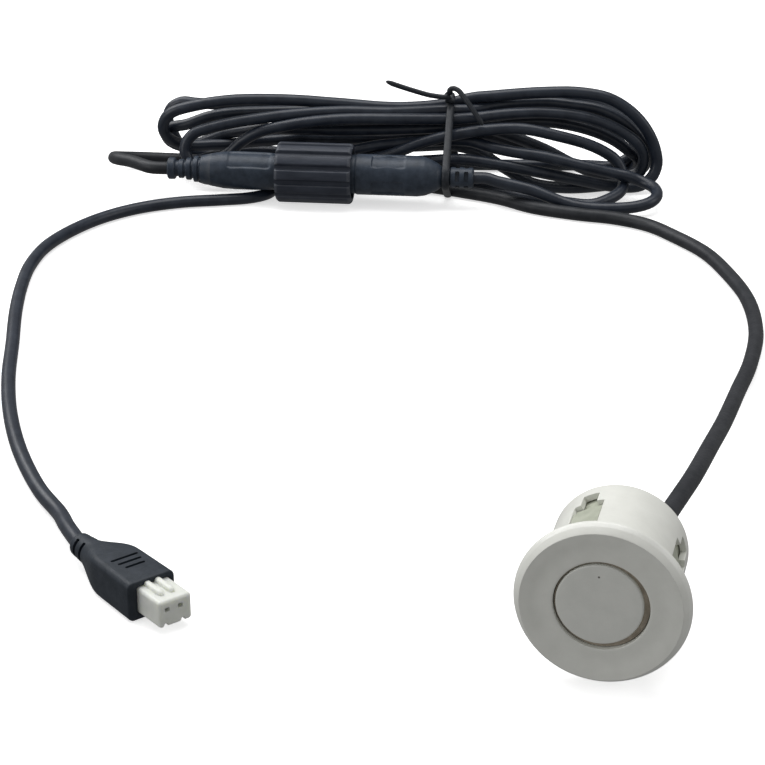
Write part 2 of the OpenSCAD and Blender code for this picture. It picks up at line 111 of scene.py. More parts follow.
LEAD = [
    # out of the connector's right end, forwards to the floor
    P(*C_RIGHT), P(*(C_RIGHT + 3.5 * CD)), V(495, 181, 210.3), V(514, 185.5, 209.6), V(533, 190.5, 208.8),
    V(548, 196.5, 208), V(562, 202, 207.3), V(576, 206, 206.6), V(592, 208, 206.2),
    # low front turn at the right, then back to the left behind the connector
    V(614, 208.5, 205), V(635, 207, 205), V(651, 202.5, 206.8), V(659, 195.5, 210.6), V(656, 187.5, 215), V(643, 182, 218.4),
    V(625, 177.5, 219), V(610, 173, 218.2), V(590, 168, 217.2), V(571, 163.3, 217), V(543, 156.5, 217.6),
    V(514, 152, 219), V(490, 147, 221), V(469, 141, 223.2),
    P(-21, 224.8, 12.9), P(-35, 225.4, 10.8), P(-48, 225.4, 8.4), P(-60, 225, 5.8), P(-70, 224.8, 3.4), P(-78, 225, 2), P(-83.5, 225.6, 2.4),
    # third strand from the top, left to right
    V(183, 158, 226.4), V(176.5, 149.5, 227), V(177, 140, 227.4), V(186, 133, 227.4), V(203, 129, 227.2), V(239, 121.5, 227),
    V(290, 115, 227), V(340, 111.5, 227.3), V(395, 112.3, 227.5), V(445, 109.5, 227.5), V(487, 105, 228.5),
    V(520, 103, 229), V(548, 102.5, 228.5), V(571, 105, 228), V(600, 110, 227.5), V(625, 122.5, 227), V(641, 138.5, 227),
    V(648, 152, 227.2), P(31.8, 227.8, 5.4), P(29.4, 229.2, 2.6), P(24.8, 230.6, 1.6), P(19, 231.6, 2),
    # back to the left over the others, hidden but for its left bend
    P(13, 232, 4.4), P(6, 232.6, 8), P(-2, 233, 11.2), P(-10, 233.8, 13.6), P(-25, 236, 15.6), P(-38, 238, 16.8), P(-55, 240, 17.6),
    V(245, 104.5, 242), V(215, 104, 243.2), V(195, 102.5, 244.2), V(180, 99.8, 245.4), V(168, 102, 246.2), V(163, 109.5, 246.8),
    V(164.5, 118.5, 247), V(170, 128, 247.4), V(175, 137.5, 247.8), V(180, 145.5, 248), V(188, 151, 248),
    # along the floor at the back
    P(-76, 247.4, 1.6), P(-66, 245.2, 1.5), P(-50, 242.6, 1.5), P(-35, 241.2, 1.5), P(-20, 240.5, 1.5), P(-5, 240.1, 1.5), P(8, 239.9, 1.5),
    P(17, 239.6, 1.5), P(25, 237.6, 1.6), P(30, 233.8, 3), P(30.4, 230.6, 6.4),
    # dark strand under the fourth, right to left
    V(630, 150.5, 229.2), V(612, 139, 229), V(586, 128.8, 228.6), V(552, 122.3, 228.4), V(520, 122, 228.2), V(487, 124.5, 228),
    V(445, 127.5, 227.8), V(395, 129.5, 228), V(340, 130, 228.6), V(290, 129, 229.6), V(262, 129, 232.4), V(240, 131.5, 235.4), V(222, 136, 238.4),
    V(205, 141.8, 241.2), V(190, 147.5, 243.4), V(177, 150, 244.4), V(166.5, 145.5, 243.6), V(162.5, 136.5, 240.6), V(168.5, 127.5, 236.4),
    # second strand from the top
    V(187, 124.3, 233.4), V(208, 117, 232.4), V(230, 113.2, 232), V(290, 111, 233), V(340, 109, 233.8),
    V(395, 110, 233.6), V(445, 107.5, 233), V(487, 101.8, 232.8), V(520, 98, 233), V(560, 97.5, 233.5), V(598, 104.5, 234.2),
    V(624, 119, 234.8), V(640, 133.5, 235), P(32.6, 235.3, 8.4), P(31.4, 235.8, 4.4), P(27, 236.2, 2), P(19, 236.2, 1.8),
    # back to the left, hidden
    P(8, 235.8, 4.6), P(0, 235.7, 7.8), P(-8, 235.7, 10.6), V(445, 134.5, 236), V(420, 135.5, 236), V(395, 138.5, 236), V(340, 138.5, 236.5), V(290, 139.5, 236.8),
    V(250, 141.5, 237), V(215, 144, 236.6), V(195, 145.5, 236), V(181, 144, 235),
    # top strand, and down its bend at the right
    V(169, 139.5, 233.6), V(161, 133, 232.4), V(158, 125.5, 231.5), V(162.5, 117, 230.8), V(173, 111, 230.2), V(190, 106.5, 229.6),
    V(212, 102.5, 229.2), V(239, 99.8, 229.2), V(290, 100, 230), V(340, 103.5, 230.5), V(395, 107.5, 230.3), V(445, 105, 229),
    V(466, 102, 228.3), V(504, 95.5, 227), V(548, 92.3, 226), V(581, 92.8, 225.4), V(610, 98.8, 224.9), V(633, 113.5, 224.3),
    V(648, 132, 224), V(656, 151.5, 224), V(657.5, 166, 223.8), V(653, 178.5, 223.2), V(642, 186, 222.6),
    # low strand back to the left
    V(628, 187.5, 222), V(610, 186, 221.4), V(594, 183, 220.6), V(571, 178.5, 219), V(533, 171, 217.8), V(495, 164, 218.5),
    V(462, 159.5, 220), P(-24, 222.6, 8.2), P(-33, 226, 6), P(-42, 230.8, 4.8), P(-51, 235.2, 4.6), P(-61, 238.8, 5.4), P(-70, 240.6, 5.1),
    P(-79, 240.4, 3.6), P(-86, 237, 2.8), P(-88.4, 232, 2.6), P(-85, 228.2, 3.4), P(-79.6, 227.6, 6),
    # strand that rises from behind the left half
    V(230, 152.5, 227.6), V(240, 143, 227.2), V(258, 132.5, 226.4), V(290, 124.5, 225.4), V(340, 119.3, 224.8), V(395, 119, 224.6),
    V(445, 119, 224.3), V(466, 118.5, 224), V(514, 113.5, 224.5), V(552, 113, 224.5), V(590, 118.5, 224.3), V(619, 130, 224.2),
    V(639, 145, 224.3), V(647, 162, 225), P(30.6, 225.2, 4), P(27, 225, 1.8), P(20, 223.2, 1.5),
    # back to the left, hidden
    P(10, 221.6, 1.6), P(2, 222.8, 2.4), P(-5, 226.2, 5.4), P(-12, 230.2, 8.6), P(-20, 234, 9.2), P(-29, 237, 7.8), P(-38, 239.2, 6.4), P(-47, 240.8, 6.8),
    P(-54.5, 239.4, 7.2), P(-58.6, 234.6, 7.4), P(-56.6, 229.6, 7.4), P(-50, 227.2, 7.4), P(-42, 226, 7.9),
    # strand that rises from behind the right half and turns down at the right
    V(392, 153, 223.8), V(418, 144, 223), V(443, 137, 222.3), V(487, 130, 221), V(523, 129, 220.4), V(558, 136, 220.4),
    V(587, 144, 221), V(605, 152, 221.4), V(618.5, 161, 222), V(627, 172, 221.8), V(628, 183, 219.2), V(620.5, 192.5, 214.8),
    V(607, 200, 211), V(591, 205, 208.8),
    # along the floor behind the connector, under it, and to the plug
    P(8, 211.2, 1.5), P(0, 214.5, 1.5), P(-7, 218.7, 1.5), P(-15, 222.8, 1.6), P(-25, 225.4, 2.6), P(-34, 227.3, 4.7),
    P(-43, 229.4, 3.2), P(-51, 231, 1.6), P(-57.5, 230.6, 1.5), P(-61.6, 226.5, 1.5), P(-62.6, 221.5, 1.5), P(-64.6, 217, 1.5),
    P(-68.8, 214.2, 1.5), P(-76, 212.6, 1.5), P(-85, 211, 1.5), P(-94.5, 207, 1.5), P(-102.5, 200.5, 1.5),
    P(-109, 191.5, 1.5), P(-114, 180, 1.5), P(-116, 167.5, 1.5), P(-116, 154, 1.5), P(-115, 139.5, 1.5), P(-113, 122, 1.5),
    P(-111, 104, 1.5), P(-108, 87, 1.5), P(-103.5, 70, 1.5), P(-97.5, 54, 1.5), P(-92.4, 43.6, 2), P(-90.3, 37.4, 2.8),
    P(*(PC - 22.8 * PD + [0, 0, 3.5]))]

CABLE = [
    # straight out of the back of the sensor, then down to the floor
    P(*lay(5, 5.5, 13.8)), P(*lay(5, 10.2, 13.8)), P(*lay(5, 15.7, 13.8)), P(18, 38.5, 12), P(23, 54.5, 9.5), P(28.5, 72.5, 6.5),
    P(34, 91.5, 4), P(39.5, 110, 2.2), P(43.5, 128, 1.6), P(44.5, 146, 1.6), P(42.5, 161.5, 1.6), P(39, 175.5, 1.6),
    P(33.5, 186, 1.6), P(28, 194, 1.6), P(20.5, 199, 1.6), P(11.5, 202, 1.6), P(1, 207, 1.6), P(-6.5, 213.4, 1.6),
    # under the hank to its left end, and round into the connector
    P(-17, 219.4, 1.6), P(-26, 224, 1.6), P(-34, 228, 1.6), P(-45, 233.5, 1.6), P(-58, 238, 1.6), P(-72, 241, 1.6),
    P(-82, 242.6, 1.6), P(-88, 243.6, 1.8), P(-96.5, 243.6, 2.2), P(-102.5, 240.5, 3.4), P(-104.2, 235, 5.2), P(-102.5, 229.5, 6.6),
    P(-98.5, 225, 7.4), P(*(C_LEFT - 4 * CD)), P(*C_LEFT)]


def even(out, step):
    """The same line with its points an even step apart."""
    s = np.concatenate([[0], np.cumsum(np.linalg.norm(np.diff(out[:, :3], axis=0), axis=1))])
    n = int(round(s[-1] / step)) + 1
    return np.stack([np.interp(np.linspace(0, s[-1], n), s, out[:, k]) for k in range(out.shape[1])], 1)


def spline(q, step, per=24):
    """Centripetal Catmull-Rom line through the points, at an even step."""
    q = np.array(q, float)
    g = np.vstack([2 * q[0] - q[1], q, 2 * q[-1] - q[-2]])
    out = []
    for i in range(1, len(g) - 2):
        p0, p1, p2, p3 = g[i - 1:i + 3]
        t0 = 0.0
        t1 = t0 + max(np.linalg.norm((p1 - p0)[:3]), 1e-6) ** 0.5
        t2 = t1 + max(np.linalg.norm((p2 - p1)[:3]), 1e-6) ** 0.5
        t3 = t2 + max(np.linalg.norm((p3 - p2)[:3]), 1e-6) ** 0.5
        for t in np.linspace(t1, t2, per, endpoint=False):
            a1 = (t1 - t) / (t1 - t0) * p0 + (t - t0) / (t1 - t0) * p1
            a2 = (t2 - t) / (t2 - t1) * p1 + (t - t1) / (t2 - t1) * p2
            a3 = (t3 - t) / (t3 - t2) * p2 + (t - t2) / (t3 - t2) * p3
            b1 = (t2 - t) / (t2 - t0) * a1 + (t - t0) / (t2 - t0) * a2
            b2 = (t3 - t) / (t3 - t1) * a2 + (t - t1) / (t3 - t1) * a3
            out.append((t2 - t) / (t2 - t1) * b1 + (t - t1) / (t2 - t1) * b2)
    out.append(g[-2])
    return even(np.array(out), step)


# radius of the in-line connector along its axis
PROF_S = np.array([-.5, 0, 2, 8.2, 14, 17, 25, 27, 27.3, 46.3, 46.5, 49, 62.5, 65.6, 68.4, 70.2, 75.9, 76.1])
PROF_R = np.array([0, 2.7, 2.7, 3.4, 4.6, 4.7, 4.7, 4.7, 7.45, 7.45, 5, 5, 5, 4.2, 2.5, 2.5, 2.5, 0])


def settle(lead, cable, its=340):
    """Pushes the strands apart where they would pass through each other, the connector or the floor."""
    X0 = np.vstack([lead[:, :3], cable[:, :3]])
    n1, n = len(lead), len(lead) + len(cable)
    rad = np.concatenate([np.full(n1, LEAD_R), np.full(n - n1, CABLE_R)])
    vis = np.concatenate([lead[:, 3], cable[:, 3]])
    chain = np.concatenate([np.zeros(n1, int), np.ones(n - n1, int)])
    w = np.ones(n)
    w[:8] = 0
    w[:n1][(X0[:n1, 1] < 213.5) & (X0[:n1, 0] < -66)] = 0
    w[n1:][X0[n1:, 1] < 190] = 0
    w[-8:] = 0
    for _ in range(8):
        w = np.minimum(w, np.convolve(np.pad(w, 3, mode="edge"), np.ones(7) / 7, "valid"))
    ray = X0 - EYE
    ray /= np.linalg.norm(ray, axis=1)[:, None]
    act = np.where((X0[:, 1] > 190) & (X0[:, 0] > -112))[0]
    D = np.zeros_like(X0)
    h = 3
    for it in range(its):
        X = X0 + D
        if it % 50 == 0:
            A = X[act]
            d2 = (A ** 2).sum(1)[:, None] + (A ** 2).sum(1)[None] - 2 * A @ A.T
            gap = rad[act][:, None] + rad[act][None] + 3.0
            ii, jj = np.where(np.triu(d2 < gap * gap, 1))
            ii, jj = act[ii], act[jj]
            keep = (chain[ii] != chain[jj]) | (np.abs(ii - jj) > 9)
            ii, jj = ii[keep], jj[keep]
            need = rad[ii] + rad[jj] + 0.05
        diff = X[ii] - X[jj]
        dist = np.sqrt((diff ** 2).sum(1)) + 1e-9
        pen = np.maximum(need - dist, 0)
        push = diff / dist[:, None] * (0.5 * pen)[:, None]
        on = (pen > 0).astype(float)
        cnt = np.maximum(np.bincount(ii, on, n) + np.bincount(jj, on, n), 1)
        step = np.stack([np.bincount(ii, push[:, k], n) - np.bincount(jj, push[:, k], n) for k in range(3)], 1)
        step = step / cnt[:, None] * 1.2
        # the connector
        s = (X - C_LEFT) @ CD
        rr = np.interp(s, PROF_S, PROF_R, left=0, right=0)
        radial = X - C_LEFT - s[:, None] * CD
        dr = np.linalg.norm(radial, axis=1)
        pc = np.where(rr > 0, np.maximum(rr + rad + 0.15 - dr, 0), 0)
        step += radial / np.maximum(dr, 1e-6)[:, None] * pc[:, None] * 0.7
        # ease bends that are too tight
        for c0, c1 in ((0, n1), (n1, n)):
            q = X[c0:c1]
            k = q[:-2 * h] - 2 * q[h:-h] + q[2 * h:]
            seg = np.linalg.norm(q[2 * h:] - q[:-2 * h], axis=1) / 2
            curve = np.linalg.norm(k, axis=1) / np.maximum(seg, 1e-6) ** 2
            ease = np.clip((curve - 1 / 6.0) * 6.0, 0, 1.4) * 0.35
            step[c0 + h:c1 - h] += k / 4 * ease[:, None]
        D = D + step * w[:, None]
        for c0, c1 in ((0, n1), (n1, n)):
            d = D[c0:c1]
            m = d.copy()
            m[1:-1] = 0.25 * d[:-2] + 0.5 * d[1:-1] + 0.25 * d[2:]
            d += (0.6 if it < its - 30 else 0.35) * (m - d)
        along = (D * ray).sum(1)[:, None] * ray
        across = D - along
        back = np.where(vis > 0.5, 0.05, 0.008)[:, None] * (1.0 if it < its - 60 else 0.25)
        D = along * (1 - 0.003) + across * (1 - back)
        D[:, 2] += np.maximum(rad - (X0 + D)[:, 2], 0) * (w > 0)
    X = X0 + D
    print("cords settled: pairs", len(ii), "deepest overlap mm %.2f" % pen.max(), "connector %.2f" % pc.max())
    return X[:n1], X[n1:]


lead_pts, cable_pts = settle(spline(LEAD, 1.3), spline(CABLE, 1.5))


def finer(q, step):
    return spline(q, step, per=4)


lead_pts, cable_pts = finer(lead_pts, 1.0), finer(cable_pts, 1.2)


# ---------------------------------------------------------------- materials
def node(nt, kind, **sets):
    nd = nt.nodes.new(kind)
    for k, v in sets.items():
        setattr(nd, k, v)
    return nd


class Finish:
    """A procedural material: mottled colour, uneven roughness and a fine moulded or extruded bump, all in the piece's own space."""

    def __init__(self, name, dark, light, rough, spots=900.0, grain=6000.0, bump=0.02, stretch=(1, 1, 1), mottle=(0.35, 0.65), **sockets):
        self.mat = bpy.data.materials.new(name)
        self.mat.use_nodes = True
        nt = self.nt = self.mat.node_tree
        nt.nodes.clear()
        self.link = nt.links.new
        out = node(nt, "ShaderNodeOutputMaterial")
        self.bsdf = bsdf = node(nt, "ShaderNodeBsdfPrincipled")
        self.link(bsdf.outputs["BSDF"], out.inputs["Surface"])
        for k, v in sockets.items():
            bsdf.inputs[k.replace("_", " ")].default_value = v
        self.coord = node(nt, "ShaderNodeTexCoord")
        self.map = node(nt, "ShaderNodeMapping")
        self.map.inputs["Scale"].default_value = stretch
        self.link(self.coord.outputs["Object"], self.map.inputs["Vector"])
        # colour
        self.n1 = self.noise(spots, 4.0, 0.6)
        self.ramp = node(nt, "ShaderNodeValToRGB")
        self.ramp.color_ramp.elements[0].position = mottle[0]
        self.ramp.color_ramp.elements[0].color = (*dark, 1)
        self.ramp.color_ramp.elements[1].position = mottle[1]
        self.ramp.color_ramp.elements[1].color = (*light, 1)
        self.link(self.n1.outputs["Fac"], self.ramp.inputs["Fac"])
        self.color = self.ramp.outputs["Color"]
        # roughness
        self.n2 = self.noise(grain * 0.35, 5.0, 0.65)
        self.rough = node(nt, "ShaderNodeMapRange")
        self.rough.inputs["From Min"].default_value = 0.3
        self.rough.inputs["From Max"].default_value = 0.7
        self.rough.inputs["To Min"].default_value = rough[0]
        self.rough.inputs["To Max"].default_value = rough[1]
        self.link(self.n2.outputs["Fac"], self.rough.inputs["Value"])
        self.link(self.rough.outputs["Result"], bsdf.inputs["Roughness"])
        # fine bump
        self.n3 = self.noise(grain, 3.0, 0.55)
        self.bump = node(nt, "ShaderNodeBump")
        self.bump.inputs["Strength"].default_value = bump * 10
        self.bump.inputs["Distance"].default_value = 0.00004
        self.link(self.n3.outputs["Fac"], self.bump.inputs["Height"])
        self.link(self.bump.outputs["Normal"], bsdf.inputs["Normal"])

    def noise(self, scale, detail, rough, vector=None):
        nd = node(self.nt, "ShaderNodeTexNoise")
        nd.inputs["Scale"].default_value = scale
        nd.inputs["Detail"].default_value = detail
        nd.inputs["Roughness"].default_value = rough
        self.link(vector or self.map.outputs["Vector"], nd.inputs["Vector"])
        return nd

    def mix(self, fac, color):
        """Lays a colour over what is there, where fac says."""
        m = node(self.nt, "ShaderNodeMix", data_type="RGBA")
        self.link(fac, m.inputs["Factor"])
        self.link(self.color, m.inputs["A"])
        m.inputs["B"].default_value = (*color, 1)
        self.color = m.outputs["Result"]
        return self

    def math(self, op, a, b, clamp=False):
        m = node(self.nt, "ShaderNodeMath", operation=op, use_clamp=clamp)
        for i, v in enumerate((a, b)):
            if isinstance(v, (int, float)):
                m.inputs[i].default_value = v
            else:
                self.link(v, m.inputs[i])
        return m.outputs[0]

    def wear(self, color, lo=0.35, hi=0.9, scale=2500.0):
        """Rubbed paler along the edges that the mesh marks as wear, broken up by noise."""
        at = node(self.nt, "ShaderNodeAttribute", attribute_name="wear")
        nz = self.noise(scale, 4.0, 0.7)
        prod = self.math("MULTIPLY", at.outputs["Fac"], self.math("ADD", nz.outputs["Fac"], 0.35))
        mr = node(self.nt, "ShaderNodeMapRange")
        mr.inputs["From Min"].default_value = lo
        mr.inputs["From Max"].default_value = hi
        self.link(prod, mr.inputs["Value"])
        return self.mix(mr.outputs["Result"], color)

    def dust(self, color, scale=7000.0, cut=0.68, amount=0.5):
        """Small pale or dark specks."""
        nz = self.noise(scale, 2.0, 0.5)
        mr = node(self.nt, "ShaderNodeMapRange")
        mr.inputs["From Min"].default_value = cut
        mr.inputs["From Max"].default_value = cut + 0.06
        mr.inputs["To Max"].default_value = amount
        self.link(nz.outputs["Fac"], mr.inputs["Value"])
        return self.mix(mr.outputs["Result"], color)

    def speck(self, centre, radius, color):
        """One small mark at a place of the piece's own space."""
        d = node(self.nt, "ShaderNodeVectorMath", operation="DISTANCE")
        self.link(self.coord.outputs["Object"], d.inputs[0])
        d.inputs[1].default_value = centre
        nz = self.noise(9000.0, 2.0, 0.5)
        wob = self.math("ADD", d.outputs["Value"], self.math("MULTIPLY", nz.outputs["Fac"], radius * 0.8))
        mr = node(self.nt, "ShaderNodeMapRange")
        mr.inputs["From Min"].default_value = radius * 1.5
        mr.inputs["From Max"].default_value = radius * 0.9
        self.link(wob, mr.inputs["Value"])
        return self.mix(mr.outputs["Result"], color)

    def done(self):
        self.link(self.color, self.bsdf.inputs["Base Color"])
        return self.mat


M = {}
M["bezel_white"] = (Finish("bezel_white", (0.745, 0.75, 0.70), (0.79, 0.795, 0.745), (0.28, 0.38), spots=260, grain=2600, bump=0.014,
                           Coat_Weight=0.2, Coat_Roughness=0.18, Specular_IOR_Level=0.45)
                    .dust((0.7, 0.69, 0.64), 2600, 0.75, 0.25).wear((0.89, 0.89, 0.87)).done())
M["can_white"] = (Finish("can_white", (0.72, 0.728, 0.685), (0.765, 0.77, 0.725), (0.34, 0.46), spots=340, grain=4200, bump=0.014,
                         Specular_IOR_Level=0.4)
                  .dust((0.6, 0.59, 0.53), 3000, 0.75, 0.25).speck((-0.00022, -0.0048, 0.0007), 0.00021, (0.12, 0.115, 0.1)).done())
# Capsule plastic: its own greenish grey, darkened further as painted shade for the inside of the sleeve's windows.
M["capsule_plastic"] = (Finish("capsule_plastic", (0.36, 0.38, 0.305), (0.43, 0.45, 0.37), (0.45, 0.58), spots=420, grain=5200, bump=0.02,
                               Specular_IOR_Level=0.35).wear((0.56, 0.58, 0.49)).done())
# Silicone ring brown: partly the ring's own tone, partly painted shade for the shadowed gap round the transducer face.
M["isolation_silicone"] = Finish("isolation_silicone", (0.32, 0.275, 0.215), (0.44, 0.385, 0.31), (0.5, 0.68), spots=700, grain=5000, bump=0.03).done()
M["piezo_ceramic"] = Finish("piezo_ceramic", (0.62, 0.58, 0.44), (0.72, 0.69, 0.56), (0.35, 0.55), spots=900, grain=9000, bump=0.02).done()
M["damping_foam"] = Finish("damping_foam", (0.10, 0.10, 0.10), (0.24, 0.24, 0.24), (0.8, 0.95), spots=2500, grain=3500, bump=0.08).done()
M["potting_resin"] = (Finish("potting_resin", (0.03, 0.031, 0.034), (0.055, 0.056, 0.06), (0.16, 0.4), spots=260, grain=900, bump=0.05,
                             Coat_Weight=0.3, Coat_Roughness=0.12).dust((0.2, 0.2, 0.2), 5200, 0.72, 0.4).done())
M["wire_red"] = Finish("wire_red", (0.42, 0.05, 0.035), (0.58, 0.09, 0.06), (0.3, 0.42), spots=1500, grain=7000, bump=0.015).done()
M["wire_black"] = Finish("wire_black", (0.025, 0.026, 0.03), (0.05, 0.05, 0.056), (0.3, 0.42), spots=1500, grain=7000, bump=0.015).done()
M["black_rubber"] = Finish("black_rubber", (0.012, 0.014, 0.017), (0.026, 0.028, 0.032), (0.5, 0.66), spots=900, grain=5200, bump=0.035, Specular_IOR_Level=0.3).done()
M["connector_black"] = (Finish("connector_black", (0.018, 0.027, 0.042), (0.035, 0.048, 0.070), (0.36, 0.5), spots=520, grain=5200, bump=0.03,
                               Specular_IOR_Level=0.36).dust((0.07, 0.078, 0.09), 4200, 0.72, 0.3).wear((0.06, 0.068, 0.082)).done())
M["nut_black"] = (Finish("nut_black", (0.018, 0.023, 0.036), (0.034, 0.041, 0.058), (0.42, 0.55), spots=520, grain=5200, bump=0.035,
                         stretch=(1, 1, 0.25), Specular_IOR_Level=0.34).dust((0.1, 0.106, 0.118), 4200, 0.71, 0.3).wear((0.085, 0.092, 0.108), 0.3, 0.95).done())
M["seal_red"] = Finish("seal_red", (0.33, 0.06, 0.04), (0.45, 0.1, 0.07), (0.45, 0.6), spots=900, grain=6000, bump=0.02).done()
M["insert_black"] = Finish("insert_black", (0.02, 0.02, 0.022), (0.04, 0.04, 0.043), (0.4, 0.55), spots=900, grain=6000, bump=0.02).done()
M["contact_brass"] = Finish("contact_brass", (0.66, 0.48, 0.2), (0.8, 0.62, 0.3), (0.2, 0.34), spots=1200, grain=9000, bump=0.015, Metallic=1.0).done()
M["boot_black"] = (Finish("boot_black", (0.012, 0.018, 0.026), (0.023, 0.030, 0.041), (0.46, 0.6), spots=480, grain=5200, bump=0.035,
                          Specular_IOR_Level=0.28).dust((0.08, 0.085, 0.092), 4600, 0.73, 0.3).wear((0.05, 0.056, 0.063)).done())
M["housing_white"] = (Finish("housing_white", (0.73, 0.75, 0.695), (0.79, 0.805, 0.755), (0.34, 0.46), spots=520, grain=5200, bump=0.014,
                             Subsurface_Weight=0.55, Subsurface_Scale=0.0016, Subsurface_Radius=(1.0, 1.0, 0.85), Specular_IOR_Level=0.4)
                      .dust((0.66, 0.67, 0.6), 4200, 0.75, 0.25).done())
# Terminal tin is given a darker tone than bare tin: painted shade, so the terminals look dark inside the contact holes.
M["terminal_tin"] = Finish("terminal_tin", (0.3, 0.3, 0.28), (0.45, 0.45, 0.43), (0.24, 0.4), spots=1500, grain=9000, bump=0.02, Metallic=1.0).done()
M["tie_black"] = (Finish("tie_black", (0.010, 0.013, 0.018), (0.022, 0.026, 0.033), (0.36, 0.5), spots=900, grain=6000, bump=0.03,
                         Specular_IOR_Level=0.34).dust((0.07, 0.075, 0.083), 5000, 0.73, 0.3).done())
M["cable_jacket"] = (Finish("cable_jacket", (0.014, 0.016, 0.020), (0.027, 0.029, 0.034), (0.38, 0.52), spots=300, grain=4800, bump=0.028,
                            Specular_IOR_Level=0.3).dust((0.09, 0.094, 0.102), 3600, 0.745, 0.35).done())
M["lead_jacket"] = (Finish("lead_jacket", (0.010, 0.0145, 0.025), (0.022, 0.029, 0.043), (0.3, 0.42), spots=300, grain=4800, bump=0.028,
                           Specular_IOR_Level=0.44).dust((0.08, 0.085, 0.095), 3600, 0.745, 0.35).done())

SLOT_OF = {p["node"]: p["material_slot"] for p in frame["record"]["subparts"]}
for name, obj in NODES.items():
    obj.data.materials.clear()
    obj.data.materials.append(M[SLOT_OF[name]])


# ---------------------------------------------------------------- mesh helpers, millimetres in each piece's own frame
def fillet(pts, default=0.12, k=3, closed=False):
    """2D polyline with its corners rounded. A point may give its own radius as a third number."""
    out = []
    n = len(pts)
    for i, p in enumerate(pts):
        r = p[2] if len(p) > 2 else default
        if (not closed and i in (0, n - 1)) or r <= 0:
            out.append((p[0], p[1]))
            continue
        a, b, c = np.array(pts[i - 1][:2], float), np.array(p[:2], float), np.array(pts[(i + 1) % n][:2], float)
        u, v = a - b, c - b
        lu, lv = np.linalg.norm(u), np.linalg.norm(v)
        if lu < 1e-6 or lv < 1e-6:
            continue
        u, v = u / lu, v / lv
        ang = math.acos(max(-1, min(1, float(u @ v))))
        if ang > math.radians(172):
            out.append((p[0], p[1]))
            continue
        t = min(r / math.tan(ang / 2), 0.45 * lu, 0.45 * lv)
        p0, p1 = b + u * t, b + v * t
        for j in range(k + 1):
            f = j / k
            q = (1 - f) ** 2 * p0 + 2 * f * (1 - f) * b + f ** 2 * p1
            out.append((float(q[0]), float(q[1])))
    return out


def make(name, verts, faces, matrix, slot, body=ROOT, replaces=(), sharp=38, wear=None, recalc=True):
    """A mesh piece, in place, riding its body."""
    me = bpy.data.meshes.new(name)
    me.from_pydata([tuple(float(c) * MM for c in v) for v in verts], [], faces)
    me.update()
    if recalc:
        bm = bmesh.new()
        bm.from_mesh(me)
        bmesh.ops.recalc_face_normals(bm, faces=bm.faces)
        bm.to_mesh(me)
        bm.free()
    if wear is not None:
        at = me.attributes.new("wear", "FLOAT", "POINT")
        at.data.foreach_set("value", np.asarray(wear, np.float32))
    ob = bpy.data.objects.new(name, me)
    SCENE.collection.objects.link(ob)
    ob.matrix_world = matrix
    me.materials.append(M[slot])
    smooth(ob, sharp)
    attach(ob, body)
    if replaces:
        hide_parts(*replaces)
    return ob


def smooth(ob, sharp):
    ob.data.shade_smooth()
    ob.data.set_sharp_from_angle(angle=math.radians(sharp))


def bevel(ob, width, segments=2, angle=38):
    md = ob.modifiers.new("edges", "BEVEL")
    md.width = width * MM
    md.segments = segments
    md.limit_method = "ANGLE"
    md.angle_limit = math.radians(angle)
    md.harden_normals = False
    wn = ob.modifiers.new("normals", "WEIGHTED_NORMAL")
    wn.keep_sharp = True
    return ob


def bake(ob):
    """Applies the modifiers to the piece's own mesh."""
    dg = bpy.context.evaluated_depsgraph_get()
    me = bpy.data.meshes.new_from_object(ob.evaluated_get(dg))
    old = ob.data
    ob.modifiers.clear()
    ob.data = me
    bpy.data.meshes.remove(old)
    return ob


def block(points, faces, matrix):
    """A plain helper solid for cutting and joining; it is removed after use."""
    me = bpy.data.meshes.new("helper")
    me.from_pydata([tuple(float(c) * MM for c in p) for p in points], [], faces)
    bm = bmesh.new()
    bm.from_mesh(me)
    bmesh.ops.recalc_face_normals(bm, faces=bm.faces)
    bm.to_mesh(me)
    bm.free()
    ob = bpy.data.objects.new("helper", me)
    SCENE.collection.objects.link(ob)
    ob.matrix_world = matrix
    return ob


def prism(outline, axis, a, b, matrix):
    """Helper solid: a 2D outline carried along x, y or z from a to b."""
    n = len(outline)
    place = {"x": lambda p, t: (t, p[0], p[1]), "y": lambda p, t: (p[0], t, p[1]), "z": lambda p, t: (p[0], p[1], t)}[axis]
    pts = [place(p, a) for p in outline] + [place(p, b) for p in outline]
    faces = [list(range(n))[::-1], list(range(n, 2 * n))] + [[i, (i + 1) % n, n + (i + 1) % n, n + i] for i in range(n)]
    return block(pts, faces, matrix)


def combine(ob, others, op):
    bpy.context.view_layer.update()
    for o in others:
        md = ob.modifiers.new("cut", "BOOLEAN")
        md.operation = op
        md.solver = "EXACT"
        md.object = o
    bpy.context.view_layer.update()
    bake(ob)
    for o in others:
        me = o.data
        bpy.data.objects.remove(o)
        bpy.data.meshes.remove(me)
    return ob


def rounded(w, h, r, k=5, cx=0.0, cy=0.0):
    """Outline of a rectangle with round corners."""
    r = min(r, w / 2 - 1e-3, h / 2 - 1e-3)
    out = []
    for qx, qy, a0 in ((1, 1, 0), (-1, 1, 90), (-1, -1, 180), (1, -1, 270)):
        for j in range(k + 1):
            a = math.radians(a0 + 90 * j / k)
            out.append((cx + qx * (w / 2 - r) + r * math.cos(a), cy + qy * (h / 2 - r) + r * math.sin(a)))
    return out


def disc(r, n=40, cx=0.0, cy=0.0):
    return [(cx + r * math.cos(2 * math.pi * i / n), cy + r * math.sin(2 * math.pi * i / n)) for i in range(n)]


